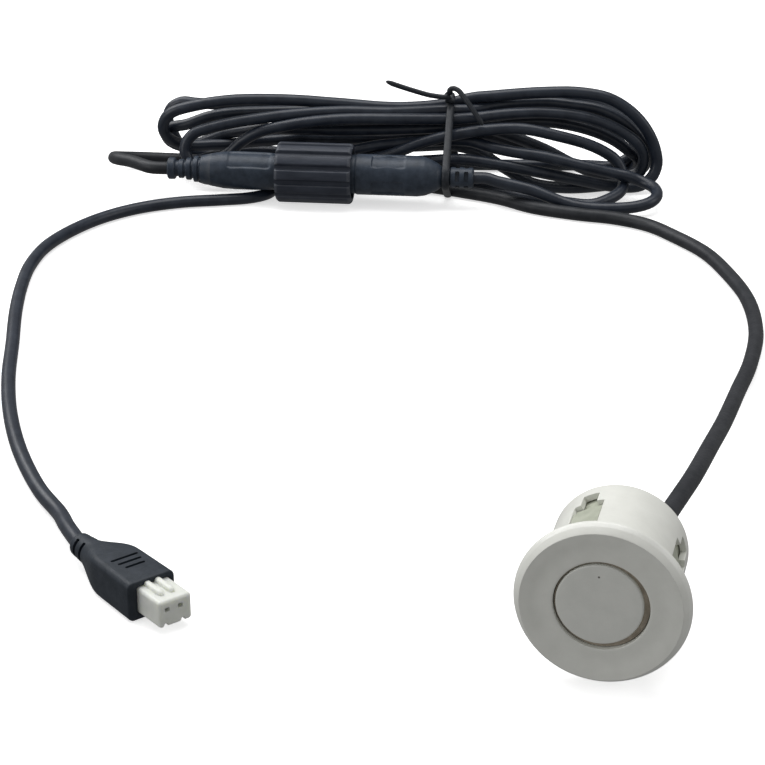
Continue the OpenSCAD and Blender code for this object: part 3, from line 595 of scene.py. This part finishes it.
def lathe(profile, n, shape=None, closed=False):
    """Verts and faces of a profile (radius, z) turned about z. shape(r, z, angle) may change the radius."""
    verts, faces, rings = [], [], []
    for r, z in profile:
        if r < 1e-6:
            rings.append([len(verts)])
            verts.append((0, 0, z))
            continue
        rings.append(list(range(len(verts), len(verts) + n)))
        for i in range(n):
            a = 2 * math.pi * i / n
            q = shape(r, z, a) if shape else r
            verts.append((q * math.cos(a), q * math.sin(a), z))
    pairs = list(zip(rings[:-1], rings[1:])) + ([(rings[-1], rings[0])] if closed else [])
    for A, B in pairs:
        for i in range(n):
            j = (i + 1) % n
            if len(A) == 1 and len(B) == 1:
                continue
            if len(A) == 1:
                faces.append([A[0], B[i], B[j]])
            elif len(B) == 1:
                faces.append([A[i], A[j], B[0]])
            else:
                faces.append([A[i], A[j], B[j], B[i]])
    return verts, faces


def dense(profile, step):
    """More rows along the straight stretches of a profile."""
    out = [profile[0]]
    for p, q in zip(profile[:-1], profile[1:]):
        d = math.hypot(q[0] - p[0], q[1] - p[1])
        m = max(1, int(math.ceil(d / step)))
        for i in range(1, m + 1):
            out.append((p[0] + (q[0] - p[0]) * i / m, p[1] + (q[1] - p[1]) * i / m))
    return out


def ramp(x, a, b):
    """Smooth step from 0 at a to 1 at b."""
    t = max(0.0, min(1.0, (x - a) / (b - a)))
    return t * t * (3 - 2 * t)


def sweep(path, wide, thin, m=14, start=None, guide=None):
    """Verts and faces of an oval tube along a path, with rounded ends. Its wide way follows guide where the path crosses it."""
    path = np.asarray(path, float)
    wide = np.broadcast_to(np.asarray(wide, float), len(path))
    thin = np.broadcast_to(np.asarray(thin, float), len(path))
    t = np.gradient(path, axis=0)
    t /= np.linalg.norm(t, axis=1)[:, None]
    u = np.asarray(start if start is not None else [0, 0, 1], float)
    verts, faces = [], []
    n = len(path)
    for i in range(n):
        if guide is not None:
            g = guide - (guide @ t[i]) * t[i]
            far = np.linalg.norm(g)
            if far > 0.3:
                g = g / far if g @ u >= 0 else -g / far
                u = u + ramp(far, 0.3, 0.7) * 0.5 * (g - u)
        u = u - (u @ t[i]) * t[i]
        u /= np.linalg.norm(u)
        v = np.cross(t[i], u)
        end = min(i, n - 1 - i)
        k = math.sqrt(max(1 - (1 - min(1, end / 3.0)) ** 2, 0.12))
        for j in range(m):
            a = 2 * math.pi * j / m
            verts.append(path[i] + k * (wide[i] * math.cos(a) * u + thin[i] * math.sin(a) * v))
    for i in range(n - 1):
        for j in range(m):
            a, b = i * m + j, i * m + (j + 1) % m
            faces.append([a, b, b + m, a + m])
    faces.append(list(range(m))[::-1])
    faces.append([(n - 1) * m + j for j in range(m)])
    return verts, faces


# ---------------------------------------------------------------- sensor
def arc(cx, cz, r, a0, a1, n):
    return [(cx + r * math.cos(math.radians(a0 + (a1 - a0) * i / n)), cz + r * math.sin(math.radians(a0 + (a1 - a0) * i / n))) for i in range(n + 1)]


def sensor_bezel():
    w0, w1, w2 = 6.6, 15.4, 18.2
    half, notch = math.degrees(math.asin(2.6 / 10.9)), math.degrees(math.asin(1.4 / 10.9))
    front = [(7.5, 2.6), (7.5, 1.6), (7.5, 0.84), (7.52, 0.75), (7.57, 0.68), (7.66, 0.635), (7.9, 0.62), (8.5, 0.62), (9.2, 0.615), (9.8, 0.56),
             (10.4, 0.47), (10.9, 0.35), (11.4, 0.22), (12.0, 0.11), (12.48, 0.03)]
    front += fillet([(12.48, 0.03), (12.6, 0.0, 0.1), (13.0, 0.5, 0.5), (13.4, 1.05, 0.5), (13.68, 1.6, 0.4), (13.8, 2.0)], k=3)[1:]
    front += arc(13.2, 2.0, 0.6, 6, 90, 8)
    front += [(11.65, 2.6), (11.4, 2.63), (11.23, 2.75), (11.15, 2.95), (11.15, 6.1), (11.11, 6.24), (11.01, 6.36), (10.9, 6.42)]
    outer = front + [(10.9, w0), (10.9, w1), (10.9, w2), (10.9, 20.4), (10.85, 20.62), (10.71, 20.84), (10.5, 20.97), (10.3, 21),
                     (10.1, 20.97), (9.95, 20.85), (9.85, 20.65)]
    loop = outer + [(9.85, w2), (9.85, w1), (9.85, w0), (9.85, 3.5), (9.75, 3.4), (8.2, 3.4)]
    j0 = len(front)
    i0 = len(outer)
    twin = {j0: i0 + 2, j0 + 1: i0 + 1, j0 + 2: i0}
    centres = [-16.0, -115.5, -196.0, -295.5]
    marks = sorted((c + d) % 360 for c in centres for d in (-half, -notch, notch, half))
    base = [i * 1.5 for i in range(240)]
    angles = sorted(marks + [b for b in base if min(min(abs(b - m), 360 - abs(b - m)) for m in marks) > 0.7])
    n = len(angles)

    def near(a):
        return min(abs((a - c + 180) % 360 - 180) for c in centres)

    verts, wear = [], []
    for r, z in loop:
        for a in angles:
            verts.append((r * math.cos(math.radians(a)), r * math.sin(math.radians(a)), z))
            wear.append(0.5 if r > 13.2 else 0.0)
    faces, gone = [], set()
    rows = len(loop)
    for j in range(rows):
        jn = (j + 1) % rows
        for i in range(n):
            i1 = (i + 1) % n
            mid = (angles[i] + ((angles[i1] - angles[i]) % 360) / 2) % 360
            cut = (j in (j0, i0 + 1) and near(mid) < half) or (j in (j0 + 1, i0) and near(mid) < notch)
            if cut:
                gone.add((j, i))
            else:
                faces.append([j * n + i, j * n + i1, jn * n + i1, jn * n + i])
    for j, i in gone:
        if j not in (j0, j0 + 1):
            continue
        i1, ip = (i + 1) % n, (i - 1) % n
        for other, e in (((j, ip), ((j, i), (j + 1, i))), ((j, i1), ((j, i1), (j + 1, i1))), ((j - 1, i), ((j, i), (j, i1))), ((j + 1, i), ((j + 1, i), (j + 1, i1)))):
            if other not in gone:
                (ja, ia), (jb, ib) = e
                faces.append([ja * n + ia, jb * n + ib, twin[jb] * n + ib, twin[ja] * n + ia])
    ob = make("bezel", verts, faces, SENSOR_M, "bezel_white", replaces=["sensor_bezel"], wear=wear, sharp=32)
    return bevel(ob, 0.13, 3, 40)


def transducer_can():
    prof = ([(0, 0.66), (2, 0.662), (4, 0.668), (5.4, 0.678), (6.2, 0.69)] + arc(6.5, 1.0, 0.3, -95, 0, 8)
            + [(6.8, 1.4), (6.8, 5), (6.8, 9.2), (6.7, 9.3), (6.1, 9.3), (6.0, 9.2), (6.0, 1.6), (5.9, 1.5), (0, 1.5)])
    v, f = lathe(prof, 144)
    return make("transducer_can_face", v, f, SENSOR_M @ Matrix.Translation((-0.3 * MM, -0.15 * MM, 0)), "can_white", replaces=["transducer_can"], sharp=50)


bezel = sensor_bezel()
can = transducer_can()
for name, width in (("sensor_capsule", 0.14), ("cable_grommet", 0.25), ("potting_fill", 0.2), ("isolation_ring", 0.12)):
    smooth(NODES[name], 35)
    bevel(NODES[name], width, 3, 40)


# ---------------------------------------------------------------- in-line connector
def phi_of(elevation):
    """Angle about the connector's axis of the side that faces the front at that elevation."""
    e = math.radians(elevation)
    return math.atan2(-math.cos(e), -math.sin(e))


def off(a, b):
    return abs((a - b + math.pi) % (2 * math.pi) - math.pi)


def pads(centres, half, z0, z1, depth, soft_a=0.09, soft_z=0.35, waist=0.0):
    """Shallow finger pads sunk into a barrel. They narrow towards their middle by waist."""
    zm, zh = (z0 + z1) / 2, (z1 - z0) / 2

    def shape(r, z, a):
        k = 0.0
        for c in centres:
            t = (z - zm) / zh
            hw = half * (1 - waist * (1 - t * t))
            d = off(a, c)
            corner = max(0.0, abs(t) - 0.72) / 0.28
            hw *= 1 - 0.18 * corner ** 2
            k = max(k, (1 - ramp(d, hw - soft_a, hw)) * (1 - ramp(abs(z - zm), zh - soft_z, zh)))
        return r - depth * k

    return shape


def edge_wear(profile, n, shape=None):
    """Marks the outer corners of a turned profile."""
    w = []
    for j, (r, z) in enumerate(profile):
        a, b = profile[max(j - 1, 0)], profile[min(j + 1, len(profile) - 1)]
        out = max(0.0, (r - 0.5 * (a[0] + b[0])) * 14)
        w += [min(1.0, out)] * (1 if r < 1e-6 else n)
    return w


def inline_left():
    outline = [(0, 0, 0), (2.4, 0, .2), (2.7, .3, .2), (2.7, 1.6, .2), (2.4, 1.9, .2), (1.95, 1.95, .15), (1.95, 2.7, .15), (2.35, 2.8, .2), (2.35, 3.9, .2),
               (1.95, 4.1, .15), (1.95, 4.6, .15), (2.75, 4.7, .2), (2.75, 5.8, .2), (2.3, 6.0, .15), (2.3, 6.5, .15), (3.2, 6.6, .22), (3.2, 7.6, .2),
               (2.7, 7.8, .15), (2.7, 8.2, .15), (3.4, 8.4, .3), (4.05, 11, 6), (4.55, 14, 5), (4.7, 17, 3), (4.7, 22, 2), (4.62, 25, 1), (4.5, 26.8, .3),
               (4.5, 29.7, .1), (5.6, 29.7, .1), (5.6, 31.7, .1), (3.2, 31.7, .1), (3.2, 19, .1), (0, 19, 0)]
    prof = fillet(outline, k=4)
    cut = [i for i, p in enumerate(prof) if p[1] > 8.6 and p[0] > 3.3]
    a, b = cut[0], max(i for i in cut if prof[i][1] < 26.9)
    prof = prof[:a] + dense(prof[a:b + 1], 0.3) + prof[b + 1:]
    c = phi_of(60)
    press = pads([c, c + math.pi], math.radians(39), 15.2, 26.2, 0.32, soft_a=0.12, soft_z=0.5, waist=0.08)
    shape = lambda r, z, ang: press(r, z, ang) if (8.6 < z < 26.6 and r > 3.3) else r
    n = 144
    v, f = lathe(prof, n, shape)
    return make("connector_left_half", v, f, CONN_M, "connector_black", replaces=["inline_left_half"], wear=edge_wear(prof, n), sharp=50)


def inline_right():
    outline = [(0, 44, 0), (3.2, 44, .1), (3.2, 33.4, .1), (5.6, 33.4, .1), (5.6, 45.4, .1), (4.8, 45.4, .1), (4.8, 46.9, .2), (5.0, 47.4, .25), (5.0, 62.3, 1),
               (4.75, 64, 1.5), (4.1, 65.7, 2), (3.3, 67.2, 1.5), (2.3, 68.4, .6), (2.05, 69, .3), (2.05, 70.2, .12), (2.5, 70.4, .2), (2.5, 75.7, .3), (2.15, 76, .2), (0, 76, 0)]
    prof = fillet(outline, k=4)
    a = max(i for i, p in enumerate(prof) if p[1] < 48.5)
    b = max(i for i, p in enumerate(prof) if p[1] < 68.4)
    prof = prof[:a] + dense(prof[a:b + 1], 0.3) + dense(prof[b + 1:], 0.3)
    c = phi_of(64)
    press = pads([c + k * math.pi / 2 for k in range(4)], math.radians(27), 51.0, 59.4, 0.34, soft_a=0.06, soft_z=0.35, waist=0.1)
    shape = lambda r, z, ang: press(r, z, ang) if (50 < z < 61 and r > 4) else r
    n = 144
    v, f = lathe(prof, n, shape)
    ob = make("connector_right_half", v, f, CONN_M, "connector_black", replaces=["inline_right_half"], wear=edge_wear(prof, n), sharp=50)
    cutters = []
    for z in (72.05, 74.25):
        for s in (-1, 1):
            for e in (24, 114):
                outline2 = rounded(1.1, 2.5, 0.3, 3, z, 0.0)
                m = CONN_M @ Matrix.Rotation(phi_of(e) + (math.pi if s < 0 else 0), 4, "Z")
                pts = [(1.55, y, zz) for zz, y in outline2] + [(3.2, y, zz) for zz, y in outline2]
                k = len(outline2)
                cutters.append(block(pts, [list(range(k))[::-1], list(range(k, 2 * k))] + [[i, (i + 1) % k, k + (i + 1) % k, k + i] for i in range(k)], m))
    combine(ob, cutters, "DIFFERENCE")
    smooth(ob, 40)
    return ob


def nut_piece():
    """Fluted ring: broad ridges with round shoulders and narrow flutes, chamfered ends, plain bore."""
    R, depth, count = 7.45, 0.72, 12
    per = 24
    n = count * per
    start = math.radians(18)

    def relief(a):
        t = ((a - start) / (2 * math.pi / count) + 0.5) % 1.0 - 0.5
        arc_mm = abs(t) * 2 * math.pi / count * R
        full = math.pi / count * R
        x = full - arc_mm
        crown = 0.07 * (arc_mm / full) ** 2
        return crown + depth * (1 - ramp(x, 0.42, 0.92))

    prof = [(4.85, 27.55), (4.92, 27.44), (5.05, 27.4), (6.2, 27.4), (6.75, 27.42), (6.9, 27.47), (7.1, 27.6), (7.3, 27.82), (7.41, 28.05), (7.45, 28.4)]
    prof += [(7.45, z) for z in np.linspace(29.5, 44.5, 16)]
    prof += [(7.45, 45.2), (7.41, 45.55), (7.3, 45.78), (7.1, 46.0), (6.9, 46.13), (6.75, 46.18), (6.4, 46.2), (6.12, 46.17), (6.02, 46.08), (6.0, 45.9),
             (6.0, 29.5), (5.92, 29.4), (4.95, 29.4), (4.85, 29.3)]

    def shape(r, z, a):
        return min(r, R - relief(a)) if r > 6.3 else r

    v, f = lathe(prof, n, shape, closed=True)
    wear = []
    for r, z in prof:
        for i in range(n):
            a = 2 * math.pi * i / n
            x = relief(a)
            edge = math.exp(-((x - 0.16) / 0.12) ** 2)
            wear.append(min(1.0, 0.85 * edge + (0.55 if (z < 28.1 or z > 45.5) and x < 0.3 else 0.12)) if r > 6.8 else 0.0)
    return make("connector_nut", v, f, CONN_M, "nut_black", body=NUT, replaces=["coupling_nut"], wear=wear, sharp=60)


left_half, right_half, nut = inline_left(), inline_right(), nut_piece()


# ---------------------------------------------------------------- plug
def plug_boot():
    zc, y0 = 3.5, 0.45
    k = 7
    sections = []

    def add(x, w, h, r, dy=0.0):
        sections.append((x, w, h, r, dy))

    # strain relief, round
    add(-22.8, 3.3, 3.3, 1.65)
    add(-22.76, 3.7, 3.7, 1.85)
    add(-22.62, 4.02, 4.02, 2.01)
    add(-22.35, 4.24, 4.24, 2.12)
    for x in np.linspace(-21.9, -18.9, 7):
        d = 4.3 + 0.5 * (x + 21.9) / 3.0
        add(float(x), d, d, d / 2)
    # shoulder
    for t in np.linspace(0.0, 1.0, 15):
        e = t * t * (3 - 2 * t)
        g = math.sin(t * math.pi / 2)
        add(-18.5 + 8.3 * t, 4.9 + 3.7 * (0.45 * e + 0.55 * g), 4.88 + 2.12 * (0.35 * e + 0.65 * g), 2.4 + (1.15 - 2.4) * e)
    for x in np.linspace(-9.2, -0.8, 8):
        add(float(x), 9.0 + 0.4 * x / 10.2, 7.0, 1.1)
    add(-0.3, 9.0, 7.0, 1.1)
    add(-0.1, 8.9, 6.9, 1.05)
    add(0.0, 8.66, 6.66, 0.95)
    # mouth round the white housing
    add(0.0, 6.58, 5.18, 0.5, y0)
    add(-0.1, 6.32, 4.92, 0.42, y0)
    add(-0.35, 6.24, 4.84, 0.4, y0)
    add(-8.0, 6.24, 4.84, 0.4, y0)
    verts, faces, wear = [], [], []
    m = None
    for x, w, h, r, dy in sections:
        o = rounded(w, h, r, k, dy)
        m = len(o)
        for i, (y, z) in enumerate(o):
            verts.append((x, y, zc + z))
            corner = (i % (k + 1)) in (2, 3, 4, 5)
            wear.append(0.5 if (-11 < x and w > 7 and corner) else (0.5 if (x > -0.35 and w > 8) else 0.05))
    for s in range(len(sections) - 1):
        for i in range(m):
            j = (i + 1) % m
            faces.append([s * m + i, s * m + j, (s + 1) * m + j, (s + 1) * m + i])
    faces.append(list(range(m)))
    last = (len(sections) - 1) * m
    faces.append([last + i for i in range(m)][::-1])
    ob = make("plug_boot_shell", verts, faces, PLUG_M, "boot_black", replaces=["plug_boot"], wear=wear, sharp=48)
    cuts = []
    # three grip slots across the top
    for i in range(3):
        ln = 5.2 - 0.7 * i
        cuts.append(prism(rounded(0.6, ln, 0.28, 4, -8.4 + 1.6 * i, -2.4 + 0.4 * i + ln / 2), "z", 6.5, 8.0, PLUG_M))
    # two slots in each side of the strain relief
    for x in (-21.4, -19.3):
        for side in (0, math.pi):
            sector = [(3.2 * math.cos(side + a), zc + 3.2 * math.sin(side + a)) for a in np.radians(np.linspace(-62, 62, 13))]
            sector += [(1.62 * math.cos(side + a), zc + 1.62 * math.sin(side + a)) for a in np.radians(np.linspace(62, -62, 13))]
            cuts.append(prism(sector, "x", x, x + 0.8, PLUG_M))
    combine(ob, cuts, "DIFFERENCE")
    smooth(ob, 42)
    return ob


def plug_housing():
    zc, y0, w, h, front = 3.5, 0.45, 6.2, 4.8, 6.5
    v = []
    loops = [(-8.0, 0.0), (-2.0, 0.0), (front - 0.6, 0.0)] + [(front - 0.6 + 0.6 * math.sin(a), 0.6 * (1 - math.cos(a))) for a in np.radians((22, 45, 65, 82))] + [(front, 0.6)]
    for x, t in loops:
        v += [(x, y, z) for y, z in rounded(w - 2 * t, h - 2 * t, max(0.62 - t, 0.12), 5, y0, zc)]
    m = len(v) // len(loops)
    faces = [list(range(m))[::-1], list(range((len(loops) - 1) * m, len(loops) * m))]
    faces += [[a * m + i, a * m + (i + 1) % m, (a + 1) * m + (i + 1) % m, (a + 1) * m + i] for a in range(len(loops) - 1) for i in range(m)]
    ob = make("plug_housing_shell", v, faces, PLUG_M, "housing_white", replaces=["plug_housing"])
    ribs = []
    top = zc + h / 2
    for s in (-1, 1):
        secs = [(-0.5, 1.2, 0.74), (3.6, 1.2, 0.74), (4.0, 1.16, 0.7), (4.35, 1.02, 0.58), (4.58, 0.76, 0.38), (4.7, 0.4, 0.14)]
        pts = []
        q = 11
        for x, wd, ht in secs:
            pts.append((x, y0 - 0.2 + s + wd / 2 + 0.1, top - 0.5))
            for i in range(q):
                a = math.pi * i / (q - 1)
                pts.append((x, y0 - 0.2 + s + wd / 2 * math.copysign(abs(math.cos(a)) ** 0.7, math.cos(a)), top - 0.05 + ht * math.sin(a) ** 0.8))
            pts.append((x, y0 - 0.2 + s - wd / 2 - 0.1, top - 0.5))
        mm = q + 2
        fs = [list(range(mm))[::-1], [(len(secs) - 1) * mm + i for i in range(mm)]]
        for a in range(len(secs) - 1):
            for i in range(mm):
                j = (i + 1) % mm
                fs.append([a * mm + i, a * mm + j, (a + 1) * mm + j, (a + 1) * mm + i])
        ribs.append(block(pts, fs, PLUG_M))
    combine(ob, ribs, "UNION")
    cuts = []
    zt, yt = zc + 0.75, y0 - 0.35
    for s in (-1, 1):
        cuts.append(prism(rounded(1.7, 1.7, 0.1, 2, yt + 1.25 * s, zt), "x", -9.0, 4.8, PLUG_M))
        cuts.append(prism(rounded(0.92, 0.8, 0.16, 4, yt + 1.25 * s, zt), "x", 4.4, 7.0, PLUG_M))
    for y in (-1.85, 1.35):
        notch = [(y0 + y - 0.72, zc - h / 2 - 0.3), (y0 + y + 0.72, zc - h / 2 - 0.3), (y0 + y + 0.46, zc - h / 2 + 0.34)]
        notch += [(y0 + y + 0.42 * math.cos(a), zc - h / 2 + 0.5 + 0.36 * math.sin(a)) for a in np.radians(np.linspace(10, 170, 9))]
        notch += [(y0 + y - 0.46, zc - h / 2 + 0.34)]
        cuts.append(prism(notch, "x", 1.2, 7.5, PLUG_M))
    combine(ob, cuts, "DIFFERENCE")
    smooth(ob, 34)
    return bevel(ob, 0.12, 3, 46)


boot, housing = plug_boot(), plug_housing()


# ---------------------------------------------------------------- twist tie
def crossings(q, radius, s_at):
    s = (q - C_LEFT) @ CD - s_at
    out = []
    for i in np.where(s[:-1] * s[1:] < 0)[0]:
        t = s[i] / (s[i] - s[i + 1])
        p = q[i] + t * (q[i + 1] - q[i])
        out.append((float((p - C_LEFT) @ np.array([-CD[1], CD[0], 0])), float(p[2]), radius))
    return out


def hull(points):
    pts = sorted(set((round(x, 4), round(y, 4)) for x, y in points))

    def chain(seq):
        h = []
        for p in seq:
            while len(h) > 1 and (h[-1][0] - h[-2][0]) * (p[1] - h[-2][1]) - (h[-1][1] - h[-2][1]) * (p[0] - h[-2][0]) <= 0:
                h.pop()
            h.append(p)
        return h[:-1]

    return chain(pts) + chain(pts[::-1])


def twist_tie():
    s_at, thin, wide = 69.2, 0.5, 0.82
    rings = [c for c in crossings(lead_pts, LEAD_R, s_at) + crossings(cable_pts, CABLE_R, s_at) if c[0] < 40] + [(0.0, 7.7, 2.2)]
    pts = []
    for y, z, r in rings:
        for i in range(40):
            a = 2 * math.pi * i / 40
            pts.append((y + (r + thin + 0.06) * math.cos(a), max(z + (r + thin + 0.06) * math.sin(a), thin)))
    loop = np.array(hull(pts))
    across = np.array([-CD[1], CD[0], 0])
    base = C_LEFT + s_at * CD
    loop3 = np.array([[*(base + y * across)[:2], z] for y, z in loop])
    # start at the knot, over the highest strand at the front
    knot = np.array(V(447, 96, 226.0)[:3])
    k0 = int(np.argmin(np.linalg.norm(loop3 - knot, axis=1)))
    loop3 = np.roll(loop3, -k0, axis=0)
    if loop3[len(loop3) // 4][1] > loop3[0][1]:
        loop3 = np.vstack([loop3[:1], loop3[1:][::-1]])
    ring = even(np.vstack([loop3, loop3[:1]]), 0.8)
    top = ring[0]
    tail_a = np.array([V(u, v, y)[:3] for u, v, y in ((443, 97, 225.4), (437, 96.3, 225.6), (429, 95, 225.8), (418, 92, 226), (405, 88, 226), (394, 84.3, 226), (386, 81.3, 226))])
    tail_b = np.array([V(u, v, y)[:3] for u, v, y in ((452, 88.4, 224.6), (457.5, 89.8, 224), (462, 94.5, 223.2), (466.5, 100.8, 222.2), (471, 107, 221.4), (477, 116, 220.3),
                                                      (483, 125, 219.3))])
    # the two ends twisted round each other above the band
    climb = np.array(V(447, 90.5, 225)[:3]) - top

    def strand(phase, turns, n):
        out = []
        for i in range(n):
            t = i / (n - 1)
            a = phase + 2 * math.pi * turns * t
            out.append(top + climb * (0.12 + 0.88 * t) + CD * (0.72 * math.cos(a)) + np.array([0, -1, 0]) * (0.62 * math.sin(a)))
        return np.array(out)

    path = np.vstack([tail_a[::-1], strand(math.pi, -0.6, 9)[::-1][4:], ring[2:-2], strand(0.0, 1.15, 18)[1:], tail_b])
    n_a, n_ring = len(tail_a), len(ring)
    path = spline(path, 0.6, per=6)
    near = (path - base) @ CD
    on_band = np.array([ramp(2.2 - abs(x), 0.6, 1.4) * ramp(top[2] - 0.8 - z, -1.0, 0.6) for x, z in zip(near, path[:, 2])])
    wide, thin = 0.66 + 0.3 * on_band, 0.6 - 0.08 * on_band
    path[:, 2] = np.maximum(path[:, 2], 0.62)
    v, f = sweep(path, wide, thin, 14, start=[0, 0, 1], guide=CD)
    return make("twist_tie_wire", [row(p) / MM for p in v], f, Matrix.Identity(4), "tie_black", replaces=["twist_tie"], sharp=60)


tie = twist_tie()


# ---------------------------------------------------------------- cords
def cord_piece(name, q, radius, slot, nodes):
    cu = bpy.data.curves.new(name, "CURVE")
    cu.dimensions = "3D"
    cu.bevel_depth = radius * MM
    cu.bevel_resolution = 6
    cu.use_fill_caps = True
    sp = cu.splines.new("POLY")
    sp.points.add(len(q) - 1)
    co = np.array([[*row(p), 1.0] for p in q])
    sp.points.foreach_set("co", co.ravel())
    sp.use_smooth = True
    ob = bpy.data.objects.new(name, cu)
    SCENE.collection.objects.link(ob)
    cu.materials.append(M[slot])
    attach(ob, ROOT)
    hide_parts(*nodes)
    return ob


cable = cord_piece("sensor_cord", cable_pts, CABLE_R, "cable_jacket", ["sensor_cable", "connector_loop"])
lead = cord_piece("long_lead", lead_pts, LEAD_R, "lead_jacket", ["lead_hank", "hank_front_turns", "lead_tail"])

# ---------------------------------------------------------------- floor and light
floor_mesh = bpy.data.meshes.new("floor")
floor_mesh.from_pydata([(-8, -8, -0.00002), (8, -8, -0.00002), (8, 8, -0.00002), (-8, 8, -0.00002)], [], [[0, 1, 2, 3]])
floor = bpy.data.objects.new("floor", floor_mesh)
SCENE.collection.objects.link(floor)
floor_mat = Finish("floor", (0.80, 0.80, 0.80), (0.83, 0.83, 0.83), (0.75, 0.85), spots=3, grain=400, bump=0.0).done()
floor_bsdf = next(nd for nd in floor_mat.node_tree.nodes if nd.type == "BSDF_PRINCIPLED")
floor_bsdf.inputs["Emission Color"].default_value = (1, 1, 1, 1)
floor_bsdf.inputs["Emission Strength"].default_value = 0.62
floor_bsdf.inputs["Specular IOR Level"].default_value = 0.1
floor_mesh.materials.append(floor_mat)
floor.visible_diffuse = False
floor.visible_glossy = False


def area(name, place, aim, size, watts, color=(1, 1, 1)):
    data = bpy.data.lights.new(name, "AREA")
    data.shape = "RECTANGLE"
    data.size, data.size_y = size
    data.energy = watts
    data.color = color
    ob = bpy.data.objects.new(name, data)
    ob.location = row(place)
    ob.rotation_euler = (Vector(row(aim)) - Vector(row(place))).to_track_quat("-Z", "Y").to_euler()
    SCENE.collection.objects.link(ob)
    return ob


area("overhead", (-40, 330, 900), (-30, 120, 0), (0.9, 0.7), 6.3)
area("back_left", (-500, 500, 500), (-30, 150, 0), (0.5, 0.5), 2.8)
area("left", (-950, -230, 330), (-60, 80, 0), (0.6, 0.6), 2.3)
area("front", (250, -700, 420), (-30, 120, 0), (0.7, 0.5), 0.4)
area("right", (820, 80, 420), (0, 20, 10), (0.5, 0.5), 1.2)

world = bpy.data.worlds.new("studio")
SCENE.world = world
world.use_nodes = True
bg = next(nd for nd in world.node_tree.nodes if nd.type == "BACKGROUND")
bg.inputs["Color"].default_value = (1, 1, 1, 1)
bg.inputs["Strength"].default_value = 0.25
